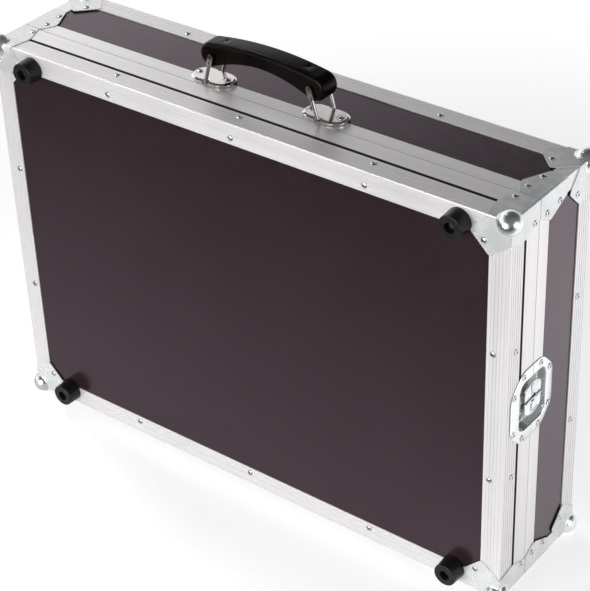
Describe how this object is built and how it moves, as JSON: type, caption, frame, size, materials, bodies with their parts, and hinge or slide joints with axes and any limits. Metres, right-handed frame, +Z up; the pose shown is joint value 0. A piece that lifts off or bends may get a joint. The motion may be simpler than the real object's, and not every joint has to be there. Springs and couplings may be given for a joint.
{
  "type": "keyboard flight case",
  "caption": "Phenolic plywood flight case for a keyboard, with aluminium edges, ball corners, a lift-off lid on twist latches, a rocking handle and rubber feet.",
  "frame": {"origin": "on the ground, in the middle of the footprint of the case standing on its long edge", "axes": "+X along the long side towards the right-hand latch, +Y from the footed face into the depth of the case, +Z up through the handle"},
  "size_m": [0.862, 0.22, 0.671],
  "materials": {
    "plywood": "phenolic-faced plywood, dark brown, satin",
    "aluminium": "extruded, fluted, satin anodised",
    "zinc_steel": "pressed steel, bright zinc plated",
    "rubber": "moulded black rubber",
    "grip_plastic": "moulded black, satin",
    "foam": "dark grey profiled foam",
    "fastener": "domed rivets, bright"
  },
  "bodies": {
    "base": {"base_panel": "plywood", "base_wall_top": "plywood", "base_angle_top": "aluminium", "base_rim_top": "aluminium", "base_wall_bottom": "plywood", "base_angle_bottom": "aluminium", "base_rim_bottom": "aluminium", "base_wall_left": "plywood", "base_angle_left": "aluminium", "base_rim_left": "aluminium", "base_wall_right": "plywood", "base_angle_right": "aluminium", "base_rim_right": "aluminium", "base_corner_top_right": "zinc_steel", "base_corner_top_left": "zinc_steel", "base_corner_bottom_right": "zinc_steel", "base_corner_bottom_left": "zinc_steel", "base_rivets": "fastener", "base_lining": "foam", "rubber_feet": "rubber", "foot_screws": "fastener", "keeper_dishes": "zinc_steel"},
    "lid": {"lid_panel": "plywood", "lid_wall_top": "plywood", "lid_angle_top": "aluminium", "lid_rim_top": "aluminium", "lid_wall_bottom": "plywood", "lid_angle_bottom": "aluminium", "lid_rim_bottom": "aluminium", "lid_wall_left": "plywood", "lid_angle_left": "aluminium", "lid_rim_left": "aluminium", "lid_wall_right": "plywood", "lid_angle_right": "aluminium", "lid_rim_right": "aluminium", "lid_corner_top_right": "zinc_steel", "lid_corner_top_left": "zinc_steel", "lid_corner_bottom_right": "zinc_steel", "lid_corner_bottom_left": "zinc_steel", "lid_rivets": "fastener", "lid_lining": "foam", "lid_edge_strips": "aluminium", "lid_braces": "zinc_steel", "latch_dishes": "zinc_steel", "latch_axles": "fastener", "handle_plates": "zinc_steel"},
    "rotor_left": {"latch_rotor_left": "zinc_steel", "latch_wing_pin_left": "fastener"},
    "upper_wing_left": {"latch_upper_wing_left": "zinc_steel"},
    "lower_wing_left": {"latch_lower_wing_left": "zinc_steel"},
    "hook_left": {"latch_hook_left": "zinc_steel"},
    "stirrup_left": {"handle_stirrup_left": "zinc_steel"},
    "rotor_right": {"latch_rotor_right": "zinc_steel", "latch_wing_pin_right": "fastener"},
    "upper_wing_right": {"latch_upper_wing_right": "zinc_steel"},
    "lower_wing_right": {"latch_lower_wing_right": "zinc_steel"},
    "hook_right": {"latch_hook_right": "zinc_steel"},
    "stirrup_right": {"handle_stirrup_right": "zinc_steel"},
    "grip": {"handle_grip": "grip_plastic", "handle_pins": "fastener"}
  },
  "joints": [
    {"name": "lid_lift", "type": "slide", "parent": "base", "child": "lid", "axis": [0, 1, 0], "range_m": [0, 0.2]},
    {"name": "latch_turn_left", "type": "hinge", "parent": "lid", "child": "rotor_left", "pos_m": [-0.421, -0.02, 0.306], "axis": [-1, 0, 0], "range_deg": [0, 180]},
    {"name": "hook_draw_left", "type": "slide", "parent": "lid", "child": "hook_left", "axis": [0.3162, 0.9487, 0], "range_m": [0, 0.00633]},
    {"name": "upper_wing_fold_left", "type": "hinge", "parent": "rotor_left", "child": "upper_wing_left", "pos_m": [-0.4203, -0.02, 0.306], "axis": [0, -1, 0], "range_deg": [0, 90]},
    {"name": "lower_wing_fold_left", "type": "hinge", "parent": "rotor_left", "child": "lower_wing_left", "pos_m": [-0.4203, -0.02, 0.306], "axis": [0, 1, 0], "range_deg": [0, 90]},
    {"name": "latch_turn_right", "type": "hinge", "parent": "lid", "child": "rotor_right", "pos_m": [0.421, -0.02, 0.306], "axis": [1, 0, 0], "range_deg": [0, 180]},
    {"name": "hook_draw_right", "type": "slide", "parent": "lid", "child": "hook_right", "axis": [-0.3162, 0.9487, 0], "range_m": [0, 0.00633]},
    {"name": "upper_wing_fold_right", "type": "hinge", "parent": "rotor_right", "child": "upper_wing_right", "pos_m": [0.4203, -0.02, 0.306], "axis": [0, 1, 0], "range_deg": [0, 90]},
    {"name": "lower_wing_fold_right", "type": "hinge", "parent": "rotor_right", "child": "lower_wing_right", "pos_m": [0.4203, -0.02, 0.306], "axis": [0, -1, 0], "range_deg": [0, 90]},
    {"name": "handle_rock", "type": "hinge", "parent": "lid", "child": "stirrup_left", "pos_m": [-0.0925, -0.0054, 0.6052], "axis": [0, 1, 0], "range_deg": [-10, 10]},
    {"name": "grip_turn", "type": "hinge", "parent": "stirrup_left", "child": "grip", "pos_m": [-0.08, -0.0054, 0.6466], "axis": [0, 1, 0], "range_deg": [-12, 12]},
    {"name": "right_stirrup_turn", "type": "hinge", "parent": "lid", "child": "stirrup_right", "pos_m": [0.0925, -0.0054, 0.6052], "axis": [0, 1, 0], "range_deg": [-10, 10]}
  ],
  "couplings": [
    {"joint": "hook_draw_left", "follows": "latch_turn_left", "m_per_rad": 0.0020132},
    {"joint": "hook_draw_right", "follows": "latch_turn_right", "m_per_rad": 0.0020132},
    {"joint": "grip_turn", "follows": "handle_rock", "ratio": -1.155},
    {"joint": "right_stirrup_turn", "follows": "handle_rock", "ratio": 1}
  ]
}
